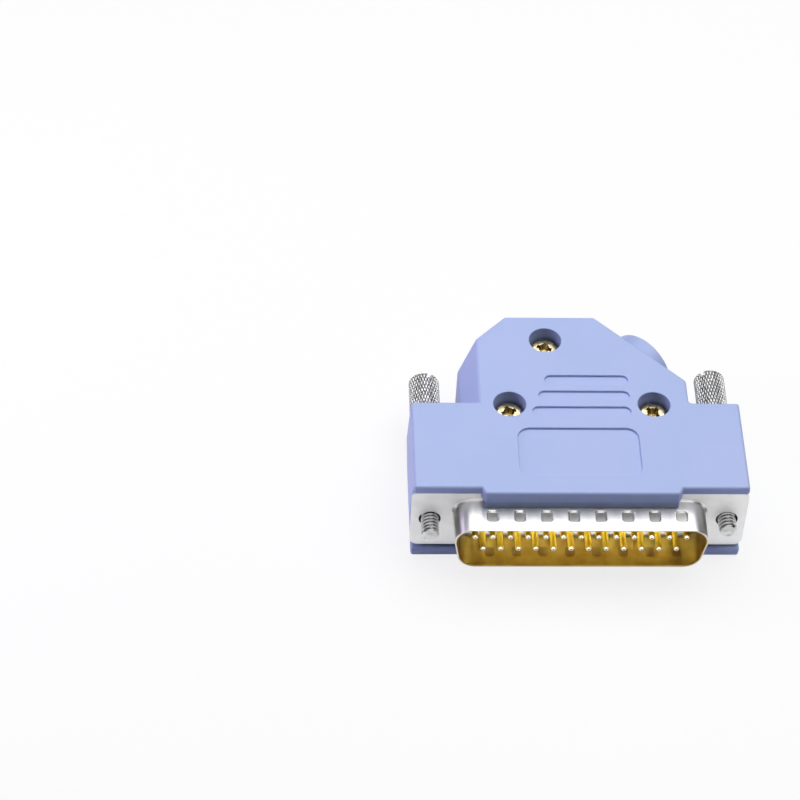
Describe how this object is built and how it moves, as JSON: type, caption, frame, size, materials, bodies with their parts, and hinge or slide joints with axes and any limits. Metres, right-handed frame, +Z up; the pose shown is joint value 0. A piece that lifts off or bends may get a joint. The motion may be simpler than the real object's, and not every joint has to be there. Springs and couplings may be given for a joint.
{
  "type": "d-sub connector",
  "caption": "D-shaped multi-pin cable plug in a two-part moulded hood with a slanted cable outlet, screwed halves and captive knurled thumbscrews.",
  "frame": {"origin": "centre of the flange's front face, on the mating axis", "axes": "+X along the flange, +Y back into the hood, +Z up, towards the longer row of pins"},
  "size_m": [0.0534, 0.0433, 0.0168],
  "materials": {
    "hood": "fine satin moulding, periwinkle blue",
    "shell_plating": "bright tin plate on drawn steel",
    "insulator": "white moulding",
    "contact_plating": "gold flash on brass",
    "screw_plating": "nickel plate with a warm tint",
    "thumbscrew_plating": "nickel plate, knurled head",
    "ring_steel": "spring steel",
    "clamp_plating": "zinc plate"
  },
  "bodies": {
    "plug": {"hood_top": "hood", "hood_bottom": "hood", "front_shell": "shell_plating", "rear_shell": "shell_plating", "front_insulator": "insulator", "rear_insulator": "insulator", "contact_01": "contact_plating", "contact_02": "contact_plating", "contact_03": "contact_plating", "contact_04": "contact_plating", "contact_05": "contact_plating", "contact_06": "contact_plating", "contact_07": "contact_plating", "contact_08": "contact_plating", "contact_09": "contact_plating", "contact_10": "contact_plating", "contact_11": "contact_plating", "contact_12": "contact_plating", "contact_13": "contact_plating", "contact_14": "contact_plating", "contact_15": "contact_plating", "contact_16": "contact_plating", "contact_17": "contact_plating", "contact_18": "contact_plating", "contact_19": "contact_plating", "contact_20": "contact_plating", "contact_21": "contact_plating", "contact_22": "contact_plating", "contact_23": "contact_plating", "contact_24": "contact_plating", "contact_25": "contact_plating", "hood_screw_left": "screw_plating", "hood_screw_right": "screw_plating", "hood_screw_back": "screw_plating", "hood_nut_left": "screw_plating", "hood_nut_right": "screw_plating", "hood_nut_back": "screw_plating", "clamp_bar_upper": "clamp_plating", "clamp_bar_lower": "clamp_plating", "clamp_screw_left": "clamp_plating", "clamp_screw_right": "clamp_plating"},
    "left_ring": {"ring_left": "ring_steel"},
    "left_thumbscrew": {"thumbscrew_left": "thumbscrew_plating"},
    "right_ring": {"ring_right": "ring_steel"},
    "right_thumbscrew": {"thumbscrew_right": "thumbscrew_plating"}
  },
  "joints": [
    {"name": "left_slide", "type": "slide", "parent": "plug", "child": "left_ring", "axis": [0, 1, 0], "range_m": [-0.00045, 0.00405]},
    {"name": "left_turn", "type": "hinge", "parent": "left_ring", "child": "left_thumbscrew", "pos_m": [-0.02352, 0, 0], "axis": [0, 1, 0], "continuous": true},
    {"name": "right_slide", "type": "slide", "parent": "plug", "child": "right_ring", "axis": [0, 1, 0], "range_m": [-0.00135, 0.00315]},
    {"name": "right_turn", "type": "hinge", "parent": "right_ring", "child": "right_thumbscrew", "pos_m": [0.02352, 0, 0], "axis": [0, 1, 0], "continuous": true}
  ]
}
